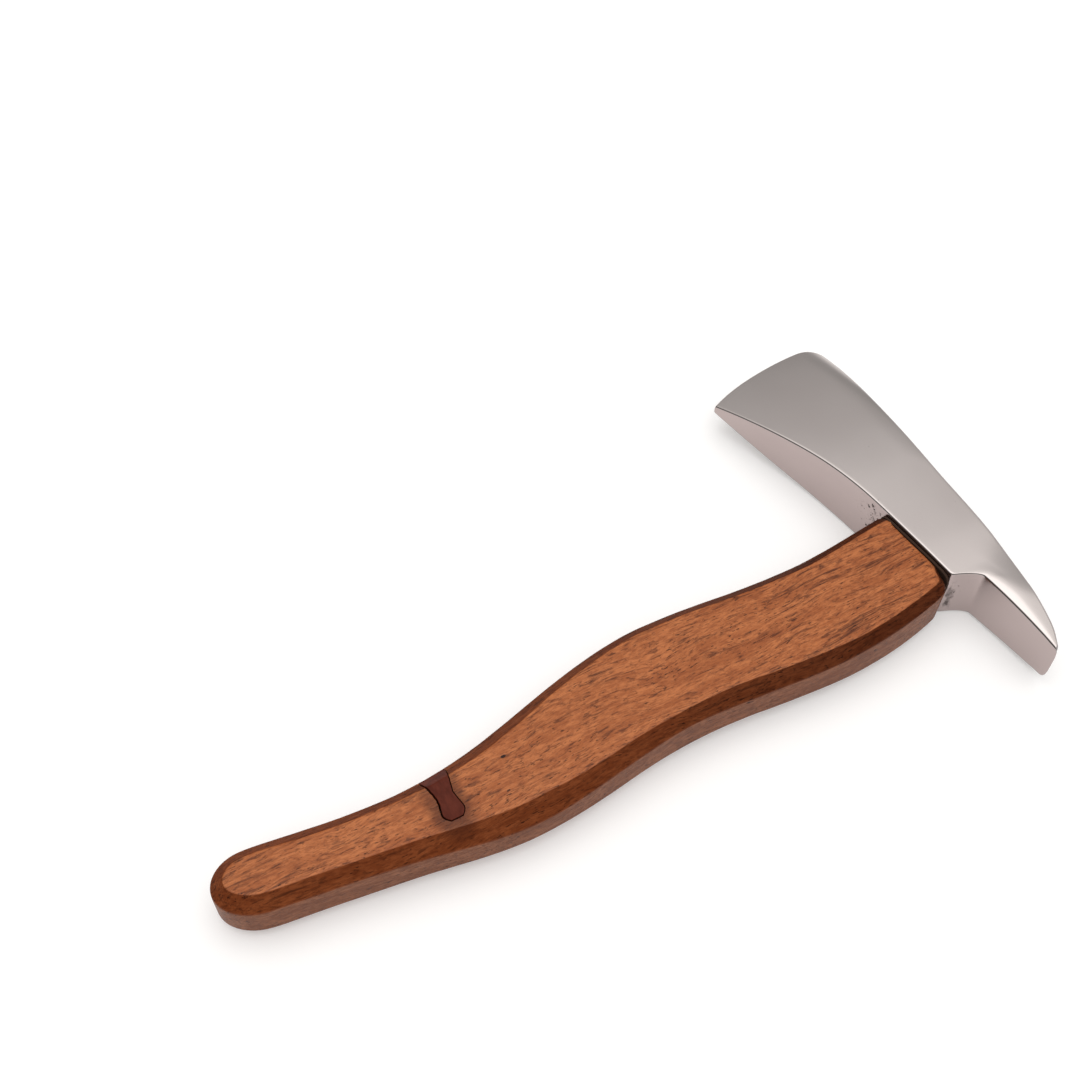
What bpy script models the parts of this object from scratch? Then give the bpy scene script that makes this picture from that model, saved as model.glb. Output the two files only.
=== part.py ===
"""Hand axe with a polished steel head and a faceted hardwood handle, lying on its side.

The design is drawn in millimetres in its own plane: X runs along the handle from the butt
to the head, Y runs across it towards the cutting edge, and Z is the thickness, with the
middle plane at zero. One parent empty then lays the whole tool down on the origin, in metres.

The handle ends in a shoulder and a tongue. The tongue goes through the eye of the head and
is spread there by a wooden wedge in its kerf and by a steel wedge across that one.
"""

import math

import bmesh
import bpy
from mathutils import Vector, geometry

MM = 0.001
GAP = 0.3                     # clearance between neighbouring pieces
ARC_REACH = 0.5523            # Bezier handle length that makes a quarter ellipse

# Head: thickness and the lines of its plan
EYE_THICKNESS = 30.4
CUTTING_THICKNESS = 5.2       # the edge is left blunt
BLADE_TAPER_LENGTH = 92.0     # from the cutting edge back to full thickness
BLADE_TAPER_POWER = 1.95      # convex, apple-seed taper
POLL_TIP_THICKNESS = 22.0
POLL_TAPER_LENGTH = 74.0
POLL_TAPER_POWER = 1.6
HEAD_ARRIS = 0.7
SHARP_ANGLE = 25              # degrees; flatter edges are shaded smooth

# Smooth lines are given by knots: position along the line's main axis, offset, and slope.
OUTER_LINE = ((-71, 24.1, 0.6), (-55, 30.2, 0.24), (-30, 34.8, 0.13), (20, 38.2, 0.03),
              (70, 41.9, 0.09), (124.4, 46.0, 0.0))
BLADE_INNER_LINE = ((21.9, 2.0, -0.08), (59, -3.5, -0.22), (85, -10.6, -0.30), (123.4, -22.9, -0.34))
POLL_INNER_LINE = ((-72.5, 21.8, -0.02), (-27.8, 18.1, -0.13))
CUTTING_LINE = ((-22.9, 123.4, 0.45), (1.2, 131.1, 0.2), (35.2, 134.7, 0.0))
EDGE_CORNER = Vector((46.0, 134.7))            # where the rounded outer corner would be square
JUNCTION_LOW = Vector((5.4, -20.4))            # flat seat of the handle on the head
JUNCTION_HIGH = Vector((2.0, 21.9))
POLL_FILLET_CORNER = Vector((17.5, -24.4))     # the poll and the eye block meet here, rounded
EDGE_BEND_LENGTH = 60.0                        # how far back the rows follow the curved edge
OUTER_Y_AT_FILLET = (-38.0, -16.0)             # the outer side's points across from the fillet's two ends
HEAD_COLUMNS = 13

# Handle: plan lines, section and ends
FAR_LINE = ((-316, 9.9, -0.10), (-255, 3.4, 0.0), (-128, 25.3, 0.0), (-50, 20.0, 0.0), (5, 24.0, 0.1))
NEAR_LINE = ((-316, -18.6, -0.15), (-262, -26.4, -0.17), (-207, -34.6, 0.0), (-130, -27.0, 0.0),
             (-55, -32.1, 0.0), (5, -23.4, 0.3))
BUTT_TIP = Vector((-333.2, -2.8))
STOCK_THICKNESS = 26.6
SHOULDER_THICKNESS = 28.4
SWELL_LENGTH = 85.0           # the handle thickens to the shoulder over this length
GRIP_CHAMFER = 5.8
WAIST_CHAMFER = 7.4
SHOULDER_CHAMFER = 4.6
WAIST_X = -215.0              # the chamfers are widest here
WAIST_SPREAD = 32.0
SHOULDER_NEAR_RADIUS = 6.0    # rounding of the shoulder's corners in plan
SHOULDER_FAR_RADIUS = 1.8
BUTT_FLAT_X = -325.0          # end of the underside's flat, where the butt touches a table

# Joint between handle and head
BEDDING_THICKNESS = 1.2
BEDDING_INSET = 2.0           # from the edge of the shoulder
BEDDING_CORNER = 2.5
EYE_CENTRE_Y = 1.4
EYE_INNER_WIDTH = 31.0
EYE_OUTER_WIDTH = 34.0
EYE_INNER_HEIGHT = 17.0
EYE_OUTER_HEIGHT = 19.4
EYE_CORNER = 3.5
TONGUE_ROOT_X = -12.0         # the tongue starts well inside the handle
TONGUE_END_X = 36.8
TONGUE_END_SLOPE = 0.045      # the end follows the head's outer face
KERF_ROOT_X = 12.0
KERF_CUT_WIDTH = 60.0         # the saw cut runs right across the tongue
KERF_ROOT_HEIGHT = 1.6
KERF_MOUTH_HEIGHT = 4.2
STEEL_WEDGE_WIDTH = 11.0
STEEL_WEDGE_ROOT = 1.2
STEEL_WEDGE_MOUTH = 3.0
STEEL_WEDGE_LENGTH = 15.0
PAST_HEAD_X = 52.0            # where the cutting tools end, clear of the head

# Filled knot on the handle's upper face: half widths at stations across the handle
KNOT_CENTRE_X = -238.2
KNOT_STATIONS = ((7.0, 7.2), (-2.0, 5.9), (-10.0, 4.3), (-17.0, 5.1), (-20.5, 2.6))
KNOT_FLOOR = 6.6              # depth below the handle's upper face


# ---------------------------------------------------------------- lines and outlines

def line_offset(knots, at):
    """Offset of a smooth line at a position, from its (position, offset, slope) knots."""
    for (a, low, slope_a), (b, high, slope_b) in zip(knots, knots[1:]):
        if at <= b or b == knots[-1][0]:
            span = b - a
            t = (at - a) / span
            rise = 3 * t ** 2 - 2 * t ** 3
            leave = t ** 3 - 2 * t ** 2 + t
            arrive = t ** 3 - t ** 2
            return low + (high - low) * rise + span * (slope_a * leave + slope_b * arrive)


def straight_offset(turns, at):
    """Offset at a position on a line of straight runs between (position, offset) turns."""
    for (a, low), (b, high) in zip(turns, turns[1:]):
        if at <= b or b == turns[-1][0]:
            return low + (high - low) * (at - a) / (b - a)


def spread(low, high, count):
    """count positions from low to high, both included."""
    return [low + (high - low) * i / (count - 1) for i in range(count)]


def rounded_corner(start, corner, end, count):
    """Points of a quarter ellipse from start to end, tangent to both legs of the corner."""
    first = start.lerp(corner, ARC_REACH)
    last = end.lerp(corner, ARC_REACH)
    return list(geometry.interpolate_bezier(start, first, last, end, count))


def resample(points, count):
    """The same line with count points at equal distances along it."""
    lengths = [0.0]
    for a, b in zip(points, points[1:]):
        lengths.append(lengths[-1] + (b - a).length)
    result = []
    for wanted in spread(0.0, lengths[-1], count):
        i = max(j for j in range(len(points) - 1) if lengths[j] <= wanted + 1e-9)
        part = (wanted - lengths[i]) / (lengths[i + 1] - lengths[i])
        result.append(points[i].lerp(points[i + 1], min(part, 1.0)))
    return result


def inset(loop, distance_at):
    """The closed plan loop moved inwards; distance_at gives the distance for each point."""
    result = []
    for i, point in enumerate(loop):
        along = (loop[(i + 1) % len(loop)] - point).normalized()
        back = (point - loop[i - 1]).normalized()
        tangent = (along + back).normalized()
        stretch = 1.0 / max(0.5, along.dot(tangent))
        inward = Vector((-tangent.y, tangent.x))
        result.append(point + inward * distance_at(point) * stretch)
    return result


# ---------------------------------------------------------------- meshes and objects

def material(name, colour, roughness, metallic=0.0):
    """A Principled material of one colour."""
    made = bpy.data.materials.new(name)
    made.use_nodes = True
    shader = made.node_tree.nodes["Principled BSDF"]
    shader.inputs["Base Color"].default_value = (*colour, 1.0)
    shader.inputs["Roughness"].default_value = roughness
    shader.inputs["Metallic"].default_value = metallic
    made.diffuse_color = (*colour, 1.0)
    return made


def add_object(name, bm, collection, parent, finish=None):
    """A named object from a mesh drawn in millimetres, with its faces pointing out."""
    bmesh.ops.scale(bm, vec=(MM, MM, MM), verts=bm.verts)
    bmesh.ops.recalc_face_normals(bm, faces=bm.faces)
    mesh = bpy.data.meshes.new(name)
    bm.to_mesh(mesh)
    bm.free()
    made = bpy.data.objects.new(name, mesh)
    made.parent = parent
    collection.objects.link(made)
    if finish:
        mesh.materials.append(finish)
        mesh.shade_smooth()
        mesh.set_sharp_from_angle(angle=math.radians(SHARP_ANGLE))
    else:
        made.hide_render = True
        made.display_type = "WIRE"
    return made


def boolean(target, operation, other):
    """An exact Boolean modifier on target."""
    made = target.modifiers.new(operation.lower() + "_" + other.name, "BOOLEAN")
    made.operation = operation
    made.solver = "EXACT"
    made.object = other


def soften_edges(target, width, angle):
    """A small rounded arris on every edge sharper than the angle, in degrees."""
    made = target.modifiers.new("arris", "BEVEL")
    made.width = width * MM
    made.segments = 2
    made.limit_method = "ANGLE"
    made.angle_limit = math.radians(angle)


def skin(bm, rings, closed):
    """Quads between neighbouring rings of vertices."""
    for low, high in zip(rings, rings[1:]):
        for i in range(len(low) if closed else len(low) - 1):
            j = (i + 1) % len(low)
            bm.faces.new((low[i], low[j], high[j], high[i]))


def tapered_block(root, tip, end_slope=0.0, corner=0.0):
    """A block along X. root and tip are (x, width in Y, height in Z) of its two ends.

    end_slope tilts the tip's face in plan, and corner rounds the four long edges.
    """
    bm = bmesh.new()
    bmesh.ops.create_cube(bm, size=2.0)
    for vertex in bm.verts:
        end_x, width, height = tip if vertex.co.x > 0 else root
        y = EYE_CENTRE_Y + vertex.co.y * width / 2
        tilt = end_slope * (y - EYE_CENTRE_Y) if vertex.co.x > 0 else 0.0
        vertex.co = (end_x + tilt, y, vertex.co.z * height / 2)
    if corner:
        long_edges = [e for e in bm.edges if e.verts[0].co.x < tip[0] / 2 < e.verts[1].co.x
                      or e.verts[1].co.x < tip[0] / 2 < e.verts[0].co.x]
        bmesh.ops.bevel(bm, geom=long_edges, offset=corner, segments=4, profile=0.5, affect="EDGES")
    return bm


# ---------------------------------------------------------------- head

def head_half_thickness(point, cutting_y):
    """Half the head's thickness at a plan point; cutting_y is the edge's Y ahead of it."""
    behind_edge = min(1.0, max(0.0, (cutting_y - point.y) / BLADE_TAPER_LENGTH))
    fullness = 1.0 - (1.0 - behind_edge) ** BLADE_TAPER_POWER
    blade = CUTTING_THICKNESS + (EYE_THICKNESS - CUTTING_THICKNESS) * fullness
    past_eye = max(0.0, -point.y / POLL_TAPER_LENGTH)
    poll = EYE_THICKNESS - (EYE_THICKNESS - POLL_TIP_THICKNESS) * past_eye ** POLL_TAPER_POWER
    return min(blade, poll) / 2


def head_inner_side():
    """Plan points of the side that faces the handle, from the poll's tip to the edge."""
    tip_y = POLL_INNER_LINE[0][0]
    fillet_y = POLL_INNER_LINE[-1][0]
    corner_y = BLADE_INNER_LINE[-1][0]
    poll = [Vector((line_offset(POLL_INNER_LINE, y), y)) for y in spread(tip_y, fillet_y, 8)]
    fillet = rounded_corner(poll[-1], POLL_FILLET_CORNER, JUNCTION_LOW, 7)
    seat = [JUNCTION_LOW.lerp(JUNCTION_HIGH, t) for t in spread(0.0, 1.0, 6)]
    blade_y = spread(JUNCTION_HIGH.y, corner_y, 18)
    blade = [Vector((line_offset(BLADE_INNER_LINE, y), y)) for y in blade_y]
    return poll + fillet[1:] + seat[1:] + blade[1:]


def head_outer_side(inner):
    """Plan points of the far side, one for each point of the inner side."""
    turns = (
        (POLL_INNER_LINE[0][0], OUTER_LINE[0][0]),
        (POLL_INNER_LINE[-1][0], OUTER_Y_AT_FILLET[0]),
        (JUNCTION_LOW.y, OUTER_Y_AT_FILLET[1]),
        (JUNCTION_HIGH.y, JUNCTION_HIGH.y),
        (BLADE_INNER_LINE[-1][0], OUTER_LINE[-1][0]),
    )
    result = []
    for point in inner:
        y = straight_offset(turns, point.y)
        result.append(Vector((line_offset(OUTER_LINE, y), y)))
    return result


def cutting_edge(count):
    """The curved edge with its rounded outer corner, from the inner to the outer side."""
    start_x = CUTTING_LINE[0][0]
    end_x = CUTTING_LINE[-1][0]
    run = [Vector((x, line_offset(CUTTING_LINE, x))) for x in spread(start_x, end_x, 20)]
    corner_end_y, corner_end_x, _ = OUTER_LINE[-1]
    corner = rounded_corner(run[-1], EDGE_CORNER, Vector((corner_end_x, corner_end_y)), 10)
    return resample(run + corner[1:], count)


def make_head(collection, parent):
    """Rows run from the inner to the outer side and bend into the cutting edge."""
    inner = head_inner_side()
    outer = head_outer_side(inner)
    edge = cutting_edge(HEAD_COLUMNS)
    bm = bmesh.new()
    faces = {1: [], -1: []}
    for low, high in zip(inner, outer):
        bend = max(0.0, 1.0 - (inner[-1].y - low.y) / EDGE_BEND_LENGTH) ** 2
        row = []
        for i, at_edge in enumerate(edge):
            part = i / (HEAD_COLUMNS - 1)
            chord = inner[-1].lerp(outer[-1], part)
            row.append(low.lerp(high, part) + bend * (at_edge - chord))
        for side in faces:
            ring = []
            for point, at_edge in zip(row, edge):
                height = side * head_half_thickness(point, at_edge.y)
                ring.append(bm.verts.new((point.x, point.y, height)))
            faces[side].append(ring)
    for side in faces:
        skin(bm, faces[side], closed=False)
    upper, lower = faces[1], faces[-1]
    skin(bm, (upper[0], lower[0]), closed=False)
    skin(bm, (upper[-1], lower[-1]), closed=False)
    for column in (0, -1):
        skin(bm, ([ring[column] for ring in upper], [ring[column] for ring in lower]), closed=False)
    steel = material("polished_steel", (0.60, 0.55, 0.53), 0.22, 1.0)
    head = add_object("head", bm, collection, parent, steel)
    soften_edges(head, HEAD_ARRIS, 32)
    return head


# ---------------------------------------------------------------- handle

def handle_half_thickness(x):
    """Half the handle's thickness: plain stock that swells towards the shoulder."""
    t = min(1.0, max(0.0, 1.0 + x / SWELL_LENGTH))
    swell = t * t * (3 - 2 * t)
    return (STOCK_THICKNESS + (SHOULDER_THICKNESS - STOCK_THICKNESS) * swell) / 2


def handle_chamfer(x):
    """Width of the 45 degree chamfers along the handle."""
    bump = math.exp(-((x - WAIST_X) / WAIST_SPREAD) ** 2)
    t = min(1.0, max(0.0, 1.0 + x / SWELL_LENGTH))
    plain = GRIP_CHAMFER + (SHOULDER_CHAMFER - GRIP_CHAMFER) * t
    return plain + (WAIST_CHAMFER - GRIP_CHAMFER) * bump


def shoulder_x(y):
    """X of the handle's shoulder face, which lies along the head's seat."""
    t = (y - JUNCTION_LOW.y) / (JUNCTION_HIGH.y - JUNCTION_LOW.y)
    seat = JUNCTION_LOW.x + (JUNCTION_HIGH.x - JUNCTION_LOW.x) * t
    return seat - BEDDING_THICKNESS - 2 * GAP


def handle_chains(stations=30, arc=9):
    """Plan points of the near and far sides, both from the shoulder to the butt's tip."""
    chains = []
    sides = ((NEAR_LINE, SHOULDER_NEAR_RADIUS, 1), (FAR_LINE, SHOULDER_FAR_RADIUS, -1))
    for knots, radius, inward in sides:
        square_y = line_offset(knots, shoulder_x(knots[-1][1]))
        square = Vector((shoulder_x(square_y), square_y))
        on_face_y = square_y + inward * radius
        on_face = Vector((shoulder_x(on_face_y), on_face_y))
        side_x = square.x - radius
        grip_x, grip_y, grip_slope = knots[0]
        side = [Vector((x, line_offset(knots, x))) for x in spread(side_x, grip_x, stations)]
        corner = rounded_corner(on_face, square, side[0], 5)
        butt_square = Vector((BUTT_TIP.x, grip_y + grip_slope * (BUTT_TIP.x - grip_x)))
        butt = rounded_corner(side[-1], butt_square, BUTT_TIP, arc)
        chains.append(corner + side[1:] + butt[1:])
    return chains


def handle_body_mesh():
    """Eight-sided bar: the plan loop at the side facets and its inset on the two faces."""
    near, far = handle_chains()
    loop = list(reversed(near)) + far[:-1]
    half = len(near)
    bm = bmesh.new()
    face_loop = inset(loop, lambda p: handle_chamfer(p.x))
    rings = []
    for plan, side in ((face_loop, -1), (loop, -1), (loop, 1), (face_loop, 1)):
        ring = []
        for outline, point in zip(loop, plan):
            z = handle_half_thickness(outline.x)
            if plan is loop:
                z -= handle_chamfer(outline.x)
            ring.append(bm.verts.new((point.x, point.y, side * z)))
        rings.append(ring)
    skin(bm, rings, closed=True)
    for ring in (rings[0], rings[-1]):
        near_side = list(reversed(ring[:half]))
        far_side = ring[half:]
        for i in range(half - 2):
            bm.faces.new((near_side[i], near_side[i + 1], far_side[i + 1], far_side[i]))
        bm.faces.new((near_side[half - 2], near_side[half - 1], far_side[half - 2]))
    return bm


def eye_section(x, clearance):
    """(x, width, height) of the tapered eye at x, smaller by the clearance on each side."""
    t = (x - JUNCTION_HIGH.x) / (TONGUE_END_X - JUNCTION_HIGH.x)
    width = EYE_INNER_WIDTH + (EYE_OUTER_WIDTH - EYE_INNER_WIDTH) * t - 2 * clearance
    height = EYE_INNER_HEIGHT + (EYE_OUTER_HEIGHT - EYE_INNER_HEIGHT) * t - 2 * clearance
    return x, width, height


def kerf_section(x, clearance, width):
    """(x, width, height) of the tapered saw kerf at x."""
    t = (x - KERF_ROOT_X) / (TONGUE_END_X - KERF_ROOT_X)
    height = KERF_ROOT_HEIGHT + (KERF_MOUTH_HEIGHT - KERF_ROOT_HEIGHT) * t - 2 * clearance
    return x, width, height


def knot_outline(clearance):
    """Plan loop of the filled knot, waisted like an hourglass."""
    left = []
    right = []
    for y, half_width in KNOT_STATIONS:
        left.append(Vector((KNOT_CENTRE_X - half_width + clearance, y)))
        right.append(Vector((KNOT_CENTRE_X + half_width - clearance, y)))
    tip_y = KNOT_STATIONS[-1][0] + clearance
    left[-1].y = tip_y
    right[-1].y = tip_y
    return left + list(reversed(right))


def knot_block(clearance):
    """Upright block with the knot's outline, from its floor to above the handle."""
    outline = knot_outline(clearance)
    floor = STOCK_THICKNESS / 2 - KNOT_FLOOR + clearance
    bm = bmesh.new()
    rings = [[bm.verts.new((p.x, p.y, z)) for p in outline] for z in (floor, EYE_THICKNESS)]
    skin(bm, rings, closed=True)
    bm.faces.new(rings[0])
    bm.faces.new(rings[1])
    return bm


def make_handle(collection, cutters, parent):
    """The bar and its tongue in one piece, with the kerf and the knot's pocket cut in."""
    handle = add_object("handle", handle_body_mesh(), collection, parent,
                        material("oiled_hardwood", (0.33, 0.12, 0.05), 0.42))
    tongue = tapered_block(eye_section(TONGUE_ROOT_X, GAP), eye_section(TONGUE_END_X, GAP),
                           TONGUE_END_SLOPE, EYE_CORNER)
    boolean(handle, "UNION", add_object("tongue", tongue, cutters, parent))
    kerf = tapered_block(kerf_section(KERF_ROOT_X, 0.0, KERF_CUT_WIDTH),
                         kerf_section(PAST_HEAD_X, 0.0, KERF_CUT_WIDTH))
    boolean(handle, "DIFFERENCE", add_object("kerf", kerf, cutters, parent))
    slot = tapered_block(*steel_wedge_ends(0.0, PAST_HEAD_X))
    for vertex in slot.verts:
        vertex.co = turn_upright(vertex.co)
    boolean(handle, "DIFFERENCE", add_object("steel_wedge_slot", slot, cutters, parent))
    boolean(handle, "DIFFERENCE", add_object("knot_pocket", knot_block(0.0), cutters, parent))
    return handle


def make_knot_fill(collection, cutters, parent):
    """The knot's filling, dressed flush with the handle."""
    fill = add_object("knot_fill", knot_block(GAP), collection, parent,
                      material("knot_filler", (0.10, 0.025, 0.015), 0.35))
    envelope = add_object("handle_envelope", handle_body_mesh(), cutters, parent)
    boolean(fill, "INTERSECT", envelope)
    return fill


# ---------------------------------------------------------------- joint pieces

def turn_upright(point):
    """A quarter turn about the eye's axis, so that a block's width stands up in Z."""
    return Vector((point.x, EYE_CENTRE_Y - point.z, point.y - EYE_CENTRE_Y))


def steel_wedge_ends(clearance, mouth_x):
    """Root and mouth of the steel wedge or, with no clearance, of its slot."""
    root_x = TONGUE_END_X - STEEL_WEDGE_LENGTH
    growth = (STEEL_WEDGE_MOUTH - STEEL_WEDGE_ROOT) / STEEL_WEDGE_LENGTH
    mouth = STEEL_WEDGE_ROOT + growth * (mouth_x - root_x)
    width = STEEL_WEDGE_WIDTH - 2 * clearance
    return ((root_x + clearance, width, STEEL_WEDGE_ROOT - clearance),
            (mouth_x, width, mouth - 2 * clearance))


def make_kerf_wedge(collection, cutters, parent):
    """Wooden wedge that spreads the tongue; the steel wedge is driven across it."""
    width = eye_section(KERF_ROOT_X, GAP)[1] - 2 * GAP
    wedge = tapered_block(kerf_section(KERF_ROOT_X + 2 * GAP, GAP, width),
                          kerf_section(TONGUE_END_X, GAP, width), TONGUE_END_SLOPE)
    wood = material("wedge_wood", (0.42, 0.22, 0.10), 0.55)
    made = add_object("kerf_wedge", wedge, collection, parent, wood)
    boolean(made, "DIFFERENCE", cutters.objects["steel_wedge_slot"])
    return made


def make_steel_wedge(collection, parent):
    """Small steel wedge, upright, flush with the tongue's end."""
    block = tapered_block(*steel_wedge_ends(GAP, TONGUE_END_X), TONGUE_END_SLOPE)
    for vertex in block.verts:
        vertex.co = turn_upright(vertex.co)
    steel = material("wedge_steel", (0.35, 0.34, 0.33), 0.4, 1.0)
    return add_object("steel_wedge", block, collection, parent, steel)


def make_bedding(collection, cutters, parent):
    """Thin bed of adhesive between the shoulder and the head, round the tongue."""
    near, far = handle_chains()
    half_height = SHOULDER_THICKNESS / 2 - BEDDING_INSET
    low_y = near[0].y - BEDDING_INSET
    high_y = far[0].y - BEDDING_INSET
    bm = bmesh.new()
    bmesh.ops.create_cube(bm, size=2.0)
    for vertex in bm.verts:
        y = high_y if vertex.co.y > 0 else low_y
        x = shoulder_x(y) + GAP
        if vertex.co.x > 0:
            x += BEDDING_THICKNESS
        vertex.co = (x, y, vertex.co.z * half_height)
    corners = [e for e in bm.edges if (e.verts[0].co - e.verts[1].co).length < 2 * BEDDING_THICKNESS]
    bmesh.ops.bevel(bm, geom=corners, offset=BEDDING_CORNER, segments=3, profile=0.5, affect="EDGES")
    adhesive = material("dark_adhesive", (0.02, 0.012, 0.01), 0.5)
    bed = add_object("shoulder_bedding", bm, collection, parent, adhesive)
    opening = tapered_block(eye_section(TONGUE_ROOT_X, 0.0), eye_section(KERF_ROOT_X, 0.0),
                            corner=EYE_CORNER)
    boolean(bed, "DIFFERENCE", add_object("bedding_opening", opening, cutters, parent))
    return bed


# ---------------------------------------------------------------- assembly

def lay_on_table(parent, parts):
    """Lean the tool so that butt and cheek both touch, with its base centred on the origin."""
    lift = (EYE_THICKNESS - STOCK_THICKNESS) / 2
    parent.rotation_euler = (0.0, -math.atan2(lift, JUNCTION_HIGH.x - BUTT_FLAT_X), 0.0)
    bpy.context.view_layer.update()
    depsgraph = bpy.context.evaluated_depsgraph_get()
    points = []
    for part in parts:
        shape = part.evaluated_get(depsgraph)
        points += [shape.matrix_world @ vertex.co for vertex in shape.data.vertices]
    low = Vector([min(p[axis] for p in points) for axis in range(3)])
    high = Vector([max(p[axis] for p in points) for axis in range(3)])
    parent.location = (-(low.x + high.x) / 2, -(low.y + high.y) / 2, -low.z)


def main():
    for old in list(bpy.data.objects):
        bpy.data.objects.remove(old, do_unlink=True)
    axe = bpy.data.collections.new("hand_axe")
    cutters = bpy.data.collections.new("cutters")
    for collection in (axe, cutters):
        bpy.context.scene.collection.children.link(collection)
    stand = bpy.data.objects.new("axe_origin", None)
    axe.objects.link(stand)

    head = make_head(axe, stand)
    eye = tapered_block(eye_section(TONGUE_ROOT_X, 0.0), eye_section(PAST_HEAD_X, 0.0),
                        corner=EYE_CORNER)
    boolean(head, "DIFFERENCE", add_object("eye", eye, cutters, stand))
    handle = make_handle(axe, cutters, stand)
    parts = [
        head,
        handle,
        make_bedding(axe, cutters, stand),
        make_kerf_wedge(axe, cutters, stand),
        make_steel_wedge(axe, stand),
        make_knot_fill(axe, cutters, stand),
    ]
    lay_on_table(stand, parts)


main()
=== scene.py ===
import math

import bmesh
import bpy
from mathutils import Matrix, Vector, geometry, noise


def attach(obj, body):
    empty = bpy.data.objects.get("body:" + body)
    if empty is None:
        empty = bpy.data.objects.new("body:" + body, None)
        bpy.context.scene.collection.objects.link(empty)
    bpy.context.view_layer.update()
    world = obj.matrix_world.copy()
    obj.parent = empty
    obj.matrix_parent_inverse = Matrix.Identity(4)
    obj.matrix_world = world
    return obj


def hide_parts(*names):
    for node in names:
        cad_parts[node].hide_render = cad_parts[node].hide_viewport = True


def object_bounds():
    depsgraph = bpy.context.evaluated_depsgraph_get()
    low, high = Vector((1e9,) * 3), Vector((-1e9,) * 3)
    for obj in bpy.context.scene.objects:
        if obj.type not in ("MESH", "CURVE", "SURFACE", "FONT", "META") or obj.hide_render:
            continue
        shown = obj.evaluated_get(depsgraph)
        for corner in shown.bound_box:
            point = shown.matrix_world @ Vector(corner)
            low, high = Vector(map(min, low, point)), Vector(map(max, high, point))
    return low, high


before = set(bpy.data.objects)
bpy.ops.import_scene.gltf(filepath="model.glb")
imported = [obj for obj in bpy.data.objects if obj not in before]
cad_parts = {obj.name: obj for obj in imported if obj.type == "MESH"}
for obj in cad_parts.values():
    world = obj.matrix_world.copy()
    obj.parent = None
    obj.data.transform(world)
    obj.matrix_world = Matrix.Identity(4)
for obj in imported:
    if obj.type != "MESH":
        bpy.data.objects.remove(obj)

# Looks of the hand axe: a buffed steel head and a varnished eight-sided hardwood handle.
#
# Shapes are drawn in millimetres in the axe's own plane: X along the handle from butt to head,
# Y across it towards the cutting edge, Z the thickness. placing_matrix() then leans the pieces
# and centres them on the box of the CAD model, in metres.

MM = 0.001
SURFACE_MARGIN = 0.04         # by which the surface stays inside the plain shapes
ARC_REACH = 0.5523            # Bezier handle length that makes a quarter ellipse
MERGE_DISTANCE = 0.002        # points of neighbouring patches closer than this are one
SHORTEST_EDGE = 0.001
ROUNDING_ERROR = 1e-9
BEVEL_ANGLE = 25.0            # degrees: sharper edges get a bevel
BEVEL_SEGMENTS = 3
BLOCK_CORNER_SEGMENTS = 8
SMOOTH_ANGLE = 30.0           # degrees: flatter edges are shaded smooth
CAD_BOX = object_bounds()

# Head. Smooth lines are given by knots: position along the line's main axis, offset, slope.
EYE_THICKNESS = 30.4
CUTTING_THICKNESS = 5.2
BLADE_TAPER_LENGTH = 92.0
BLADE_TAPER_POWER = 1.95
POLL_TIP_THICKNESS = 22.0
POLL_TAPER_LENGTH = 74.0
POLL_TAPER_POWER = 1.6
OUTER_LINE = ((-71, 24.1, 0.6), (-55, 30.2, 0.24), (-30, 34.8, 0.13), (20, 38.2, 0.03),
              (70, 41.9, 0.09), (124.4, 46.0, 0.0))
BLADE_INNER_LINE = ((21.9, 2.0, -0.08), (59, -3.5, -0.22), (85, -10.6, -0.30), (123.4, -22.9, -0.34))
POLL_INNER_LINE = ((-72.5, 21.8, -0.02), (-27.8, 18.1, -0.13))
CUTTING_LINE = ((-22.9, 123.4, 0.45), (1.2, 131.1, 0.2), (35.2, 134.7, 0.0))
EDGE_CORNER = Vector((46.0, 134.7))
JUNCTION_LOW = Vector((5.4, -20.4))
JUNCTION_HIGH = Vector((2.0, 21.9))
POLL_FILLET_CORNER = Vector((17.5, -24.4))
OUTER_Y_AT_POLL_ROOT = -38.0  # where the rows from the poll's root and from the seat's low end
OUTER_Y_AT_SEAT = -16.0       # reach the outer side
EDGE_BEND_LENGTH = 60.0
POLL_ROWS = 20
FILLET_ROWS = 12
SEAT_ROWS = 16
BLADE_ROWS = 42
CHEEK_COLUMNS = 27
CUTTING_LINE_POINTS = 40
EDGE_CORNER_POINTS = 16
CUTTING_EDGE_POINTS = 61
HEAD_WALL_STEPS = 6
HEAD_ARRIS = 1.0
END_ARRIS = 0.7               # on the cutting edge and the poll's tip
ARRIS_STEPS = 5
ARRIS_SHARE = 0.3             # of the width, where the head is narrow
POLL_RIDGE = 0.27             # the poll's cheeks rise to a soft ridge at this share of its width
POLL_RIDGE_SOFTNESS = 0.10
POLL_RISE = 0.30              # slope up to the ridge, from the side that faces the handle
POLL_FALL = 0.03              # slope down behind it
POLL_RIDGE_START = -20.0      # Y where the ridge begins, growing over the next length
POLL_RIDGE_GROWTH = 24.0
OUTER_DROOP = 3.4             # the outer side falls away where the poll leaves the cheek
OUTER_DROOP_Y = -27.0
OUTER_DROOP_LENGTH = 11.0
OUTER_DROOP_START = 0.55      # share of the width
POLL_TIP_ROUNDING = 2.6       # the tip's end face falls away towards its lower edge
POLL_TIP_UPPER_SHARE = 0.5    # and this much of it towards its upper edge
POLL_TIP_POWER = 5
POLL_TIP_START = -60.0
HEAD_WAVE_DEPTH = 0.06
HEAD_WAVE_LENGTH = 24.0

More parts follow.
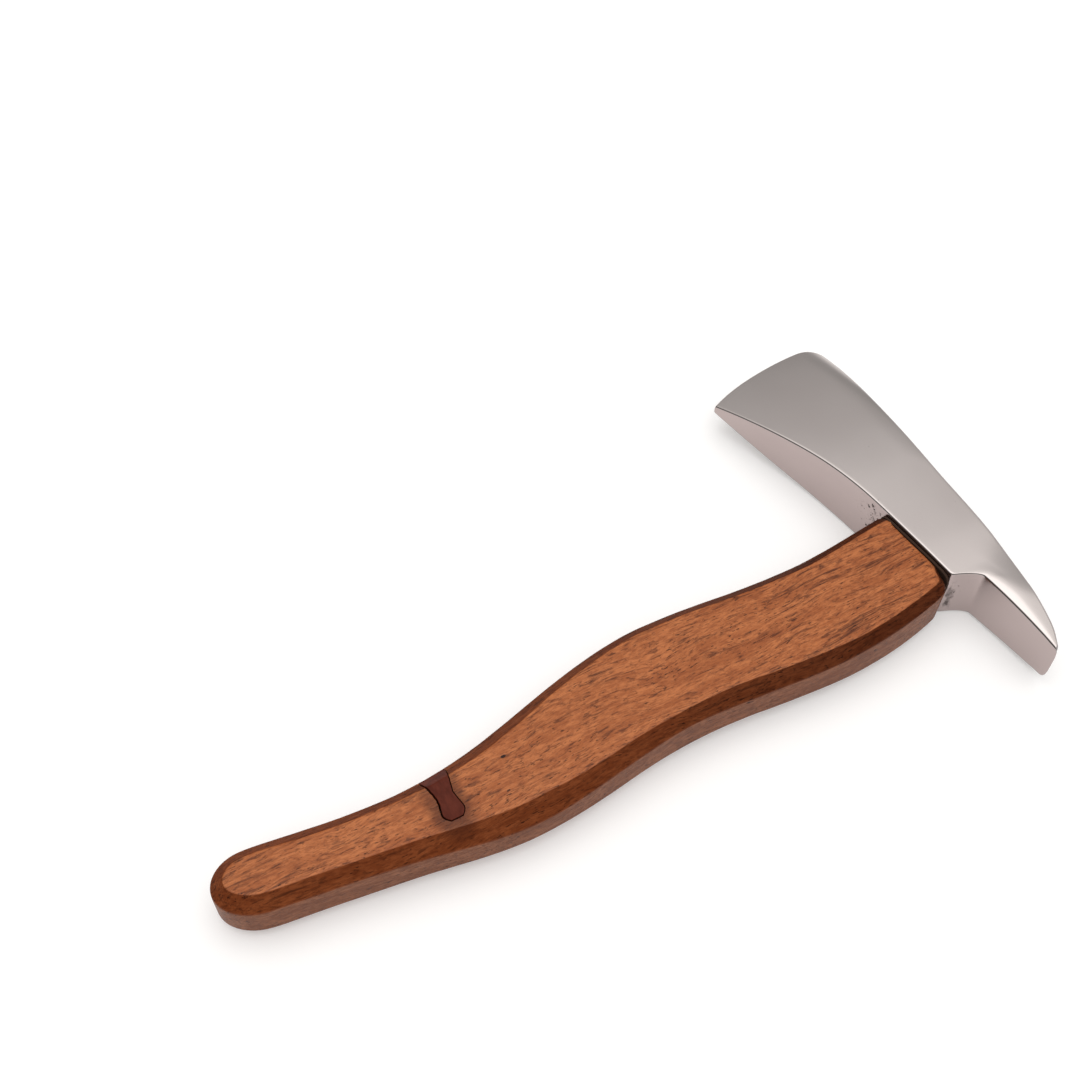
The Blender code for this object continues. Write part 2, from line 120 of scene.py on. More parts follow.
# Handle
FAR_LINE = ((-316, 9.9, -0.10), (-255, 3.4, 0.0), (-128, 25.3, 0.0), (-50, 20.0, 0.0), (5, 24.0, 0.1))
NEAR_LINE = ((-316, -18.6, -0.15), (-262, -26.4, -0.17), (-207, -34.6, 0.0), (-130, -27.0, 0.0),
             (-55, -32.1, 0.0), (5, -23.4, 0.3))
BUTT_TIP = Vector((-333.2, -2.8))
STOCK_THICKNESS = 26.6
SHOULDER_THICKNESS = 28.4
SWELL_LENGTH = 85.0
GRIP_CHAMFER = 5.8
WAIST_CHAMFER = 7.4
SHOULDER_CHAMFER = 4.6
WAIST_X = -215.0
WAIST_SPREAD = 32.0
SHOULDER_NEAR_RADIUS = 6.0
SHOULDER_FAR_RADIUS = 1.2
SHOULDER_NEAR_BAND = 4.0      # width of the end chamfer at the near and at the far corner
SHOULDER_FAR_BAND = 0.8
SHOULDER_BAND_GROWTH = 14.0
BUTT_FLAT_X = -325.0
HANDLE_STATIONS = 84
BUTT_STATIONS = 11
CORNER_STATIONS = 6
FACE_STEPS = 8
CHAMFER_STEPS = 2
WALL_STEPS = 3
HANDLE_ARRIS = 0.7
CHAMFER_WOBBLE = 0.55         # the chamfers were cut by hand: slow and quick changes of width
WOBBLE_LENGTH = 30.0
WOBBLE_SEED = (7.0, 0.0)
CHAMFER_NICKS = 0.30
NICK_LENGTH = 7.0
NICK_SEED = (3.0, 2.0)
HANDLE_WAVE_DEPTH = 0.22
HANDLE_WAVE_LENGTH = 26.0

# Joint and wedges
JOINT_GAP = 1.5               # between the head's seat and the handle's shoulder
GAP = 0.3
BED_CLEARANCE = 0.15
BED_SQUARENESS = 0.24         # power of the rim's rounded outline, square at 0
BED_RECESS = 0.3              # the adhesive stays below the shoulder's edge
BED_NEAR_REACH = 3.2          # past the flat end of the shoulder, towards its rounded corners
BED_FAR_REACH = 0.6
BED_RIM_POINTS = 120
BED_RAGGEDNESS = 0.5
BED_RAGGED_LENGTH = 4.0
BED_RAGGED_Y = 30.0           # Y at which the rim wanders sideways as much as in height
EYE_CENTRE_Y = 1.4
EYE_INNER_SIZE = (31.0, 17.0)
EYE_OUTER_SIZE = (34.0, 19.4)
EYE_CORNER = 3.5
TONGUE_ROOT_X = -12.0
TONGUE_END_X = 36.8
TONGUE_END_SLOPE = 0.045
KERF_ROOT_X = 12.0
KERF_ROOT_HEIGHT = 1.6
KERF_MOUTH_HEIGHT = 4.2
STEEL_WEDGE_WIDTH = 11.0
STEEL_WEDGE_ROOT = 1.2
STEEL_WEDGE_MOUTH = 3.0
STEEL_WEDGE_LENGTH = 15.0
STEEL_WEDGE_ARRIS = 0.25
PAST_HEAD_X = 52.0            # a cut that ends here goes right through
PAST_TONGUE_WIDTH = 60.0

# Filled knot: half width and slope along Y
KNOT_CENTRE_X = -238.2
KNOT_LINE = ((-20.5, 2.6, 0.9), (-17.0, 4.9, 0.0), (-10.0, 3.9, 0.0), (-2.0, 5.3, 0.2), (9.0, 7.2, 0.1))
KNOT_FLOOR = 6.6
KNOT_GAP = 0.36
KNOT_SHIFT = 0.6              # share of the gap by which the filling lies off its middle
KNOT_EDGE_POINTS = 40
KNOT_RAGGED_LEFT = (0.35, 2.2, 0.0)     # size, length and seed of the edge's wander
KNOT_RAGGED_RIGHT = (0.25, 2.6, 5.0)
KNOT_RAGGED_Z = 3.0
PINHOLE = (-210.0, -5.0)

# Stage: lengths in metres, the lens and its sensor in millimetres, angles in degrees
FLOOR_REACH = 12.0
FLOOR_GREY = 0.78
FLOOR_GLOW = 0.26
FLOOR_TINT = (1.0, 0.99, 0.98)
CAMERA_PLACE = (-0.188488, -0.272411, 0.508900)
CAMERA_HEADING = 60.0         # degrees from X
CAMERA_PITCH = 52.05          # degrees below the horizon
CAMERA_ROLL = 1.448
CAMERA_LENS = 45.34
CAMERA_SENSOR = 36.0
CAMERA_CLIP_START = 0.01
WALL_TINT = (1.0, 0.985, 0.97)
# Brightness of the studio's walls and ceiling by the sine of the angle above the horizon
STUDIO_WALL = ((0.0, 0.95), (0.12, 0.88), (0.20, 0.46), (0.32, 0.46), (0.43, 0.58), (0.65, 0.72),
               (0.72, 0.81), (0.75, 0.96), (0.79, 1.25), (0.87, 1.45), (0.92, 2.0), (1.0, 2.1))


# ---------------------------------------------------------------- lines

def line_offset(knots, at):
    """Offset of a smooth line at a position, from its (position, offset, slope) knots."""
    for (a, low, slope_a), (b, high, slope_b) in zip(knots, knots[1:]):
        if at <= b or b == knots[-1][0]:
            span = b - a
            t = (at - a) / span
            rise = 3 * t ** 2 - 2 * t ** 3
            leave = t ** 3 - 2 * t ** 2 + t
            arrive = t ** 3 - t ** 2
            return low + (high - low) * rise + span * (slope_a * leave + slope_b * arrive)


def straight_offset(turns, at):
    """Offset at a position on a line of straight runs between (position, offset) turns."""
    for (a, low), (b, high) in zip(turns, turns[1:]):
        if at <= b or b == turns[-1][0]:
            return low + (high - low) * (at - a) / (b - a)


def spread(low, high, count):
    """count positions from low to high, both included."""
    return [low + (high - low) * i / (count - 1) for i in range(count)]


def smooth_step(low, high, at):
    """0 below low, 1 above high, and a smooth rise between them."""
    t = min(1.0, max(0.0, (at - low) / (high - low)))
    return t * t * (3 - 2 * t)


def rounded_corner(start, corner, end, count):
    """Points of a quarter ellipse from start to end, tangent to both legs of the corner."""
    first = start.lerp(corner, ARC_REACH)
    last = end.lerp(corner, ARC_REACH)
    return list(geometry.interpolate_bezier(start, first, last, end, count))


def resample(points, count):
    """The same line with count points at equal distances along it."""
    lengths = [0.0]
    for a, b in zip(points, points[1:]):
        lengths.append(lengths[-1] + (b - a).length)
    result = []
    for wanted in spread(0.0, lengths[-1], count):
        i = max(j for j in range(len(points) - 1) if lengths[j] <= wanted + ROUNDING_ERROR)
        part = (wanted - lengths[i]) / (lengths[i + 1] - lengths[i])
        result.append(points[i].lerp(points[i + 1], min(part, 1.0)))
    return result


def point_on(line, part):
    """The point at a share of the way along a line of evenly spaced points."""
    at = min(max(part, 0.0), 1.0) * (len(line) - 1)
    i = min(int(at), len(line) - 2)
    return line[i].lerp(line[i + 1], at - i)


def lift(point, z):
    """A plan point at height z."""
    return Vector((point.x, point.y, z))


# ---------------------------------------------------------------- meshes

def patch(bm, first, last, steps):
    """A grid of quads between two lines of equally many points."""
    rows = []
    for step in range(steps + 1):
        t = step / steps
        rows.append([bm.verts.new(a.lerp(b, t)) for a, b in zip(first, last)])
    for low, high in zip(rows, rows[1:]):
        for i in range(len(low) - 1):
            bm.faces.new((low[i], low[i + 1], high[i + 1], high[i]))


def closed(bm):
    """Join patches that share an edge line into one body with its faces pointing out."""
    bmesh.ops.remove_doubles(bm, verts=bm.verts, dist=MERGE_DISTANCE)
    bmesh.ops.dissolve_degenerate(bm, edges=bm.edges, dist=SHORTEST_EDGE)
    bmesh.ops.recalc_face_normals(bm, faces=bm.faces)
    return bm


def add_object(name, bm):
    """A new object in the scene with the mesh."""
    mesh = bpy.data.meshes.new(name)
    bm.to_mesh(mesh)
    bm.free()
    made = bpy.data.objects.new(name, mesh)
    bpy.context.scene.collection.objects.link(made)
    return made


def apply_modifiers(made):
    """Give the object the mesh that its modifiers make of it."""
    depsgraph = bpy.context.evaluated_depsgraph_get()
    mesh = bpy.data.meshes.new_from_object(made.evaluated_get(depsgraph))
    made.modifiers.clear()
    made.data = mesh


def round_arrises(made, width):
    """Rounded arrises of the width on the sharp edges."""
    bevel = made.modifiers.new("arris", "BEVEL")
    bevel.width = width
    bevel.segments = BEVEL_SEGMENTS
    bevel.limit_method = "ANGLE"
    bevel.angle_limit = math.radians(BEVEL_ANGLE)
    bevel.use_clamp_overlap = False
    apply_modifiers(made)


def subdivide(made):
    """Smooth the object once."""
    fine = made.modifiers.new("fine", "SUBSURF")
    fine.levels = 1
    apply_modifiers(made)


def combine(target, operation, other, keep=False):
    """Apply an exact Boolean with the other object, and remove that one."""
    step = target.modifiers.new(operation.lower(), "BOOLEAN")
    step.operation = operation
    step.solver = "EXACT"
    step.object = other
    apply_modifiers(target)
    if not keep:
        bpy.data.objects.remove(other, do_unlink=True)


def block(name, root, tip, end_slope=0.0, corner=0.0):
    """A tapered block along X; root and tip are (x, width in Y, height in Z)."""
    bm = bmesh.new()
    bmesh.ops.create_cube(bm, size=2.0)
    for vertex in bm.verts:
        end_x, width, height = tip if vertex.co.x > 0 else root
        y = EYE_CENTRE_Y + vertex.co.y * width / 2
        tilt = end_slope * (y - EYE_CENTRE_Y) if vertex.co.x > 0 else 0.0
        vertex.co = (end_x + tilt, y, vertex.co.z * height / 2)
    if corner:
        middle = (root[0] + tip[0]) / 2
        ends = [(edge, [v.co.x - middle for v in edge.verts]) for edge in bm.edges]
        long_edges = [edge for edge, (a, b) in ends if a * b < 0]
        bmesh.ops.bevel(bm, geom=long_edges, offset=corner, segments=BLOCK_CORNER_SEGMENTS,
                        profile=0.5, affect="EDGES")
    return add_object(name, bm)


def prism(name, first, last):
    """A solid between two rings of equally many points."""
    bm = bmesh.new()
    rings = [[bm.verts.new(point) for point in ring] for ring in (first, last)]
    for i in range(len(first)):
        j = (i + 1) % len(first)
        bm.faces.new((rings[0][i], rings[0][j], rings[1][j], rings[1][i]))
    bm.faces.new(rings[0])
    bm.faces.new(rings[1])
    bmesh.ops.recalc_face_normals(bm, faces=bm.faces)
    return add_object(name, bm)


def push_in(made, depth, wavelength):
    """Hand-made unevenness: points move inwards along their normals by up to the depth."""
    mesh = made.data
    normals = [v.normal.copy() for v in mesh.vertices]
    for vertex, normal in zip(mesh.vertices, normals):
        wave = 0.5 + 0.5 * noise.noise(vertex.co / wavelength)
        vertex.co -= normal * (SURFACE_MARGIN + depth * min(1.0, max(0.0, wave)))


def keep_in_flats(made):
    """Keep every point between the handle's two flat faces, also where the arrises meet."""
    for vertex in made.data.vertices:
        limit = handle_half_thickness(vertex.co.x) - SURFACE_MARGIN
        vertex.co.z = min(limit, max(-limit, vertex.co.z))


# ---------------------------------------------------------------- head

def head_half_thickness(point, cutting_y):
    """Half the head's thickness at a plan point; cutting_y is the edge's Y ahead of it."""
    behind_edge = min(1.0, max(0.0, (cutting_y - point.y) / BLADE_TAPER_LENGTH))
    fullness = 1.0 - (1.0 - behind_edge) ** BLADE_TAPER_POWER
    blade = CUTTING_THICKNESS + (EYE_THICKNESS - CUTTING_THICKNESS) * fullness
    past_eye = max(0.0, -point.y / POLL_TAPER_LENGTH)
    poll = EYE_THICKNESS - (EYE_THICKNESS - POLL_TIP_THICKNESS) * past_eye ** POLL_TAPER_POWER
    return min(blade, poll) / 2


def cheek_relief(low, high, part):
    """Height of the poll's soft ridge, and of the droop where the poll leaves the cheek."""
    width = (high - low).length
    y = (low.y + high.y) / 2
    grown = smooth_step(POLL_RIDGE_START, POLL_RIDGE_START - POLL_RIDGE_GROWTH, y)
    past_ridge = POLL_RIDGE_SOFTNESS * math.log1p(math.exp((part - POLL_RIDGE) / POLL_RIDGE_SOFTNESS))
    ridge = width * grown * (POLL_RISE * part - (POLL_RISE + POLL_FALL) * past_ridge)
    droop = OUTER_DROOP * max(0.0, part - OUTER_DROOP_START) ** 2
    return ridge - droop * math.exp(-((y - OUTER_DROOP_Y) / OUTER_DROOP_LENGTH) ** 2)


def arris_positions(radius):
    """Distances from a side at which a rounded arris of the radius is cut into equal turns."""
    return [radius * (1.0 - math.cos(turn)) for turn in spread(0.0, math.pi / 2, ARRIS_STEPS + 1)]


def arris_drop(distance, radius):
    """How far a rounded arris lies below the flat face at a distance from the side."""
    inside = max(0.0, radius - max(0.0, distance))
    return radius - math.sqrt(radius ** 2 - inside ** 2)


def head_inner_side():
    """Plan points of the side that faces the handle, from the poll's tip to the edge."""
    tip_y = POLL_INNER_LINE[0][0]
    fillet_y = POLL_INNER_LINE[-1][0]
    corner_y = BLADE_INNER_LINE[-1][0]
    tip_rows = [tip_y + distance for distance in arris_positions(END_ARRIS)]
    poll_y = tip_rows + spread(tip_y + END_ARRIS, fillet_y, POLL_ROWS)[1:]
    poll = [Vector((line_offset(POLL_INNER_LINE, y), y)) for y in poll_y]
    fillet = rounded_corner(poll[-1], POLL_FILLET_CORNER, JUNCTION_LOW, FILLET_ROWS)
    seat = [JUNCTION_LOW.lerp(JUNCTION_HIGH, t) for t in spread(0.0, 1.0, SEAT_ROWS)]
    edge_rows = [corner_y - distance for distance in reversed(arris_positions(END_ARRIS))]
    blade_y = spread(JUNCTION_HIGH.y, corner_y - END_ARRIS, BLADE_ROWS) + edge_rows[1:]
    blade = [Vector((line_offset(BLADE_INNER_LINE, y), y)) for y in blade_y]
    return poll + fillet[1:] + seat[1:] + blade[1:]


def head_outer_side(inner):
    """Plan points of the far side, one for each point of the inner side."""
    turns = ((POLL_INNER_LINE[0][0], OUTER_LINE[0][0]), (POLL_INNER_LINE[-1][0], OUTER_Y_AT_POLL_ROOT),
             (JUNCTION_LOW.y, OUTER_Y_AT_SEAT), (JUNCTION_HIGH.y, JUNCTION_HIGH.y),
             (BLADE_INNER_LINE[-1][0], OUTER_LINE[-1][0]))
    result = []
    for point in inner:
        y = straight_offset(turns, point.y)
        result.append(Vector((line_offset(OUTER_LINE, y), y)))
    return result


def cutting_edge(count):
    """The curved edge with its rounded outer corner, from the inner to the outer side."""
    run_x = spread(CUTTING_LINE[0][0], CUTTING_LINE[-1][0], CUTTING_LINE_POINTS)
    run = [Vector((x, line_offset(CUTTING_LINE, x))) for x in run_x]
    corner_end = Vector((EDGE_CORNER.x, OUTER_LINE[-1][0]))
    corner = rounded_corner(run[-1], EDGE_CORNER, corner_end, EDGE_CORNER_POINTS)
    return resample(run + corner[1:], count)


def cheek_parts(width):
    """Shares of a row's width at which it has points, closer together on the two arrises."""
    radius = min(HEAD_ARRIS, ARRIS_SHARE * width)
    near = [distance / width for distance in arris_positions(radius)]
    middle = spread(near[-1], 1.0 - near[-1], CHEEK_COLUMNS)[1:-1]
    return near + middle + [1.0 - part for part in reversed(near)]


def upper_cheek():
    """Rows of points from the inner to the outer side, bending into the cutting edge."""
    inner = head_inner_side()
    outer = head_outer_side(inner)
    edge = cutting_edge(CUTTING_EDGE_POINTS)
    rows = []
    for low, high in zip(inner, outer):
        width = (high - low).length
        radius = min(HEAD_ARRIS, ARRIS_SHARE * width)
        bend = max(0.0, 1.0 - (inner[-1].y - low.y) / EDGE_BEND_LENGTH) ** 2
        row = []
        for part in cheek_parts(width):
            at_edge = point_on(edge, part)
            chord = inner[-1].lerp(outer[-1], part)
            point = low.lerp(high, part) + bend * (at_edge - chord)
            height = head_half_thickness(point, at_edge.y) + cheek_relief(low, high, part)
            height -= arris_drop(min(part, 1.0 - part) * width, radius)
            height -= arris_drop(at_edge.y - point.y, END_ARRIS)
            height -= arris_drop(low.y - inner[0].y, END_ARRIS)
            row.append(lift(point, height))
        rows.append(row)
    return rows


def head_blank():
    """The solid head without its eye."""
    upper = upper_cheek()
    lower = [[Vector((p.x, p.y, -p.z)) for p in line] for line in upper]
    bm = bmesh.new()
    for face in (upper, lower):
        for low, high in zip(face, face[1:]):
            patch(bm, low, high, 1)
    for end in (0, -1):
        patch(bm, lower[end], upper[end], HEAD_WALL_STEPS)
        patch(bm, [line[end] for line in lower], [line[end] for line in upper], HEAD_WALL_STEPS)
    return add_object("axe_head", closed(bm))


def round_poll_tip(head):
    """Round the tip of the poll in its height, more below than above."""
    half = POLL_TIP_THICKNESS / 2
    for vertex in head.data.vertices:
        point = vertex.co
        near_tip = smooth_step(POLL_TIP_START, POLL_INNER_LINE[0][0], point.y)
        share = min(1.0, abs(point.z) / half)
        depth = POLL_TIP_ROUNDING if point.z < 0 else POLL_TIP_UPPER_SHARE * POLL_TIP_ROUNDING
        point.y += depth * near_tip * share ** POLL_TIP_POWER


def make_head():
    """The head, smoothed, with its tapered eye cut through."""
    head = head_blank()
    subdivide(head)
    eye = block("eye", eye_section(TONGUE_ROOT_X, 0.0), eye_section(PAST_HEAD_X, 0.0), corner=EYE_CORNER)
    combine(head, "DIFFERENCE", eye)
    round_poll_tip(head)
    push_in(head, HEAD_WAVE_DEPTH, HEAD_WAVE_LENGTH)
    return head


# ---------------------------------------------------------------- handle

def handle_half_thickness(x):
    """Half the handle's thickness: plain stock that swells towards the shoulder."""
    swell = smooth_step(-SWELL_LENGTH, 0.0, x)
    return (STOCK_THICKNESS + (SHOULDER_THICKNESS - STOCK_THICKNESS) * swell) / 2


def handle_chamfer(x, side):
    """Width of the chamfers along the handle; side is 1 for the near edges, -1 for the far ones."""
    bump = math.exp(-((x - WAIST_X) / WAIST_SPREAD) ** 2)
    t = min(1.0, max(0.0, 1.0 + x / SWELL_LENGTH))
    plain = GRIP_CHAMFER + (SHOULDER_CHAMFER - GRIP_CHAMFER) * t
    wobble_at = Vector((x / WOBBLE_LENGTH, WOBBLE_SEED[0] * side, WOBBLE_SEED[1]))
    nick_at = Vector((x / NICK_LENGTH, NICK_SEED[0] * side, NICK_SEED[1]))
    wobble = CHAMFER_WOBBLE * noise.noise(wobble_at)
    nicks = CHAMFER_NICKS * noise.noise(nick_at)
    return plain + (WAIST_CHAMFER - GRIP_CHAMFER) * bump + wobble + nicks


def seat_x(y):
    """X of the head's seat at y."""
    t = (y - JUNCTION_LOW.y) / (JUNCTION_HIGH.y - JUNCTION_LOW.y)
    return JUNCTION_LOW.x + (JUNCTION_HIGH.x - JUNCTION_LOW.x) * t


def shoulder_x(y):
    """X of the handle's shoulder face, parallel to the seat."""
    return seat_x(y) - JOINT_GAP


def handle_chain(knots, radius, inward):
    """Plan points of one side, from the shoulder's face to the butt's tip.

    inward is the sign of Y from that side to the middle: 1 for the near side, -1 for the far one.
    """
    square_y = line_offset(knots, shoulder_x(knots[-1][1]))
    square = Vector((shoulder_x(square_y), square_y))
    on_face_y = square_y + inward * radius
    on_face = Vector((shoulder_x(on_face_y), on_face_y))
    grip_x, grip_y, grip_slope = knots[0]
    side_x = spread(square.x - radius, grip_x, HANDLE_STATIONS)
    side = [Vector((x, line_offset(knots, x))) for x in side_x]
    corner = rounded_corner(on_face, square, side[0], CORNER_STATIONS)
    butt_square = Vector((BUTT_TIP.x, grip_y + grip_slope * (BUTT_TIP.x - grip_x)))
    butt = rounded_corner(side[-1], butt_square, BUTT_TIP, BUTT_STATIONS)
    return corner + side[1:] + butt[1:]


def face_chain(chain, inward, band):
    """The chain moved in by the chamfer, which is where the flat face begins.

    Its points round the shoulder's corner meet in one, at band's distance from the shoulder.
    """
    result = []
    for i, point in enumerate(chain[:-1]):
        along = (chain[i + 1] - chain[max(0, i - 1)]).normalized()
        to_middle = Vector((along.y, -along.x)) * inward
        result.append(point + to_middle * handle_chamfer(point.x, inward))
    tip = chain[-1]
    result.append(tip + Vector((handle_chamfer(tip.x, inward), 0.0)))
    first_side = result[CORNER_STATIONS - 1]
    corner_x = shoulder_x(first_side.y) - band
    for i, point in enumerate(result):
        if i < CORNER_STATIONS or point.x > corner_x:
            result[i] = Vector((corner_x, first_side.y))
    return result


def end_edge_height(y):
    """Height of the shoulder's upper edge: the end chamfer grows wide at the near corner."""
    near_y = NEAR_LINE[-1][1]
    at_corner = smooth_step(near_y + SHOULDER_BAND_GROWTH, near_y, y)
    band = SHOULDER_FAR_BAND + (SHOULDER_NEAR_BAND - SHOULDER_FAR_BAND) * at_corner
    return SHOULDER_THICKNESS / 2 - band


def raised(points, heights, side):
    """Plan points at their heights above (side 1) or below (side -1) the middle."""
    return [lift(point, side * height) for point, height in zip(points, heights)]


def handle_bar():
    """The eight-sided bar, from the shoulder to the rounded butt."""
    near = handle_chain(NEAR_LINE, SHOULDER_NEAR_RADIUS, 1)
    far = handle_chain(FAR_LINE, SHOULDER_FAR_RADIUS, -1)
    near_face = face_chain(near, 1, SHOULDER_NEAR_BAND)
    far_face = face_chain(far, -1, SHOULDER_FAR_BAND)
    half = [handle_half_thickness(p.x) for p in near]
    near_wall = [h - handle_chamfer(p.x, 1) for h, p in zip(half, near)]
    far_wall = [h - handle_chamfer(p.x, -1) for h, p in zip(half, far)]
    bm = bmesh.new()
    ends = []
    for side in (1, -1):
        near_top = raised(near, near_wall, side)
        far_top = raised(far, far_wall, side)
        near_flat = raised(near_face, half, side)
        far_flat = raised(far_face, half, side)
        far_top[-1] = near_top[-1]
        far_flat[-1] = near_flat[-1]
        patch(bm, near_top, near_flat, CHAMFER_STEPS)
        patch(bm, near_flat, far_flat, FACE_STEPS)
        patch(bm, far_flat, far_top, CHAMFER_STEPS)
        parts = spread(0.0, 1.0, FACE_STEPS + 1)
        end_top = [near_top[0].lerp(far_top[0], t) for t in parts]
        for point in end_top[1:-1]:
            point.z = side * end_edge_height(point.y)
        end_flat = [near_flat[0].lerp(far_flat[0], t) for t in parts]
        patch(bm, end_top, end_flat, CHAMFER_STEPS)
        ends.append((near_top, far_top, end_top))
    for upper, lower in zip(*ends):
        patch(bm, lower, upper, WALL_STEPS)
    return add_object("axe_handle", closed(bm))


def eye_section(x, clearance):
    """(x, width, height) of the tapered eye at x, smaller by the clearance on each side."""
    t = (x - JUNCTION_HIGH.x) / (TONGUE_END_X - JUNCTION_HIGH.x)
    width, height = [a + (b - a) * t - 2 * clearance for a, b in zip(EYE_INNER_SIZE, EYE_OUTER_SIZE)]
    return x, width, height


def kerf_section(x, clearance, width):
    """(x, width, height) of the tapered saw kerf at x."""
    t = (x - KERF_ROOT_X) / (TONGUE_END_X - KERF_ROOT_X)
    return x, width, KERF_ROOT_HEIGHT + (KERF_MOUTH_HEIGHT - KERF_ROOT_HEIGHT) * t - 2 * clearance


def steel_wedge_block(name, clearance, mouth_x, end_slope=0.0):
    """The steel wedge, or its slot, standing upright across the wooden one."""
    root_x = TONGUE_END_X - STEEL_WEDGE_LENGTH
    growth = (STEEL_WEDGE_MOUTH - STEEL_WEDGE_ROOT) / STEEL_WEDGE_LENGTH
    mouth = STEEL_WEDGE_ROOT + growth * (mouth_x - root_x)
    width = STEEL_WEDGE_WIDTH - 2 * clearance
    made = block(name, (root_x + clearance, width, STEEL_WEDGE_ROOT - clearance),
                 (mouth_x, width, mouth - 2 * clearance), end_slope)
    for vertex in made.data.vertices:
        x, y, z = vertex.co
        vertex.co = (x, EYE_CENTRE_Y - z, y - EYE_CENTRE_Y)
    return made


def make_tongue():
    """The handle's tongue with its saw kerf and the steel wedge's slot."""
    tongue = block("tongue", eye_section(TONGUE_ROOT_X, GAP), eye_section(TONGUE_END_X, GAP),
                   TONGUE_END_SLOPE, EYE_CORNER)
    kerf = block("kerf", kerf_section(KERF_ROOT_X, 0.0, PAST_TONGUE_WIDTH),
                 kerf_section(PAST_HEAD_X, 0.0, PAST_TONGUE_WIDTH))
    combine(tongue, "DIFFERENCE", kerf)
    combine(tongue, "DIFFERENCE", steel_wedge_block("slot", 0.0, PAST_HEAD_X))
    return tongue


def knot_wander(y, size, length, seed):
    """Sideways wander of the knot's ragged edge at y."""
    return size * noise.noise(Vector((y / length, seed, KNOT_RAGGED_Z)))


def knot_block(name, clearance):
    """Upright block with the knot's waisted outline, a little ragged."""
    left = []
    right = []
    middle = KNOT_CENTRE_X + KNOT_SHIFT * clearance
    for y in spread(KNOT_LINE[0][0] + clearance, KNOT_LINE[-1][0], KNOT_EDGE_POINTS):
        half = line_offset(KNOT_LINE, y) - clearance
        left.append(Vector((middle - half + knot_wander(y, *KNOT_RAGGED_LEFT), y)))
        right.append(Vector((middle + half + knot_wander(y, *KNOT_RAGGED_RIGHT), y)))
    outline = left + list(reversed(right))
    floor = STOCK_THICKNESS / 2 - KNOT_FLOOR + clearance
    return prism(name, [lift(p, floor) for p in outline], [lift(p, EYE_THICKNESS) for p in outline])


def make_handle_and_knot():
    """The handle with its tongue and the knot's pocket, and the filling cut to its surface."""
    handle = handle_bar()
    round_arrises(handle, HANDLE_ARRIS)
    subdivide(handle)
    knot = knot_block("knot_filling", KNOT_GAP)
    combine(knot, "INTERSECT", handle, keep=True)
    combine(handle, "UNION", make_tongue())
    combine(handle, "DIFFERENCE", knot_block("knot_pocket", 0.0))
    for piece in (handle, knot):
        push_in(piece, HANDLE_WAVE_DEPTH, HANDLE_WAVE_LENGTH)
        keep_in_flats(piece)
    return handle, knot


# ---------------------------------------------------------------- joint pieces

def make_wedges():
    """The wooden wedge in the kerf, slotted for the steel wedge, and the steel wedge."""
    width = eye_section(KERF_ROOT_X, GAP)[1] - 2 * GAP
    wooden = block("wooden_wedge", kerf_section(KERF_ROOT_X + 2 * GAP, GAP, width),
                   kerf_section(TONGUE_END_X, GAP, width), TONGUE_END_SLOPE)
    combine(wooden, "DIFFERENCE", steel_wedge_block("slot", 0.0, PAST_HEAD_X))
    steel = steel_wedge_block("cross_wedge", GAP, TONGUE_END_X, TONGUE_END_SLOPE)
    round_arrises(steel, STEEL_WEDGE_ARRIS)
    return wooden, steel


def bedding_rim():
    """(y, z) points of the adhesive's ragged outline, a square one with rounded corners."""
    near_y = handle_chain(NEAR_LINE, SHOULDER_NEAR_RADIUS, 1)[0].y - BED_NEAR_REACH
    far_y = handle_chain(FAR_LINE, SHOULDER_FAR_RADIUS, -1)[0].y + BED_FAR_REACH
    half_width = (far_y - near_y) / 2
    half_height = SHOULDER_THICKNESS / 2 - SHOULDER_FAR_BAND - BED_RECESS
    rim = []
    for angle in spread(0.0, 2 * math.pi, BED_RIM_POINTS + 1)[:-1]:
        c = math.cos(angle)
        s = math.sin(angle)
        y = near_y + half_width + half_width * math.copysign(abs(c) ** BED_SQUARENESS, c)
        z = half_height * math.copysign(abs(s) ** BED_SQUARENESS, s)
        ragged = BED_RAGGEDNESS * noise.noise(Vector((y / BED_RAGGED_LENGTH, z / BED_RAGGED_LENGTH, 1.0)))
        rim.append((y * (1 + ragged / BED_RAGGED_Y), z + math.copysign(ragged, z)))
    return rim


def make_bedding():
    """Bed of dark adhesive between shoulder and head, squeezed out to a ragged rim."""
    rim = bedding_rim()
    back, front = [[Vector((shoulder_x(y) + off, y, z)) for y, z in rim]
                   for off in (BED_CLEARANCE, JOINT_GAP - BED_CLEARANCE)]
    bed = prism("adhesive_bed", back, front)
    opening = block("opening", eye_section(TONGUE_ROOT_X, 0.0), eye_section(KERF_ROOT_X, 0.0),
                    corner=EYE_CORNER)
    combine(bed, "DIFFERENCE", opening)
    return bed


# ---------------------------------------------------------------- materials

